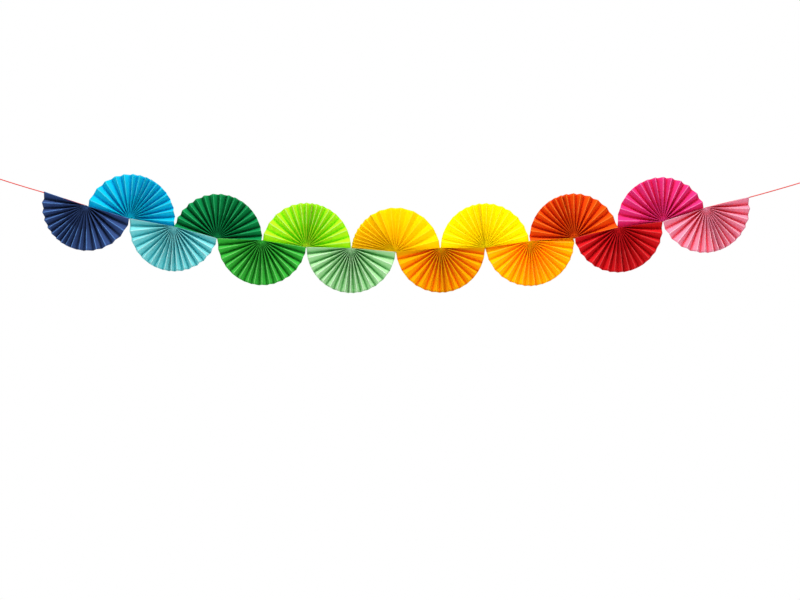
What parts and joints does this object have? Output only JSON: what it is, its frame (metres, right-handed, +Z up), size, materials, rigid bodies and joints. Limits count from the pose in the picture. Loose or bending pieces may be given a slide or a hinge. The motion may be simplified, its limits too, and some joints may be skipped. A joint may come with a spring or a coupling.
{
  "type": "paper fan garland",
  "caption": "Hanging garland of pleated half-round paper fans in rainbow order, glued by turns below and above a taut thread with a hanging loop at each end.",
  "frame": {"origin": "the point where the left hanging loop bears on its hook, in the middle plane of the fans", "axes": "+X along the garland to the right loop, +Y away from the viewer through the thickness of the fans, +Z up"},
  "size_m": [1.8682, 0.0176, 0.2733],
  "materials": {
    "navy_paper": "matte",
    "sky_blue_paper": "matte",
    "turquoise_paper": "matte",
    "forest_green_paper": "matte",
    "grass_green_paper": "matte",
    "lime_paper": "matte",
    "mint_paper": "matte",
    "golden_paper": "matte",
    "amber_paper": "matte",
    "lemon_paper": "matte",
    "marigold_paper": "matte",
    "orange_paper": "matte",
    "red_paper": "matte",
    "magenta_paper": "matte",
    "pink_paper": "matte",
    "thread": "twisted cotton"
  },
  "bodies": {
    "root": {"navy_fan": "navy_paper", "sky_blue_fan": "sky_blue_paper", "turquoise_fan": "turquoise_paper", "forest_green_fan": "forest_green_paper", "grass_green_fan": "grass_green_paper", "lime_fan": "lime_paper", "mint_fan": "mint_paper", "golden_fan": "golden_paper", "amber_fan": "amber_paper", "lemon_fan": "lemon_paper", "marigold_fan": "marigold_paper", "orange_fan": "orange_paper", "red_fan": "red_paper", "magenta_fan": "magenta_paper", "pink_fan": "pink_paper", "thread": "thread", "left_tail": "thread", "right_tail": "thread", "left_knot": "thread", "right_knot": "thread", "left_loop": "thread", "right_loop": "thread"}
  },
  "joints": []
}
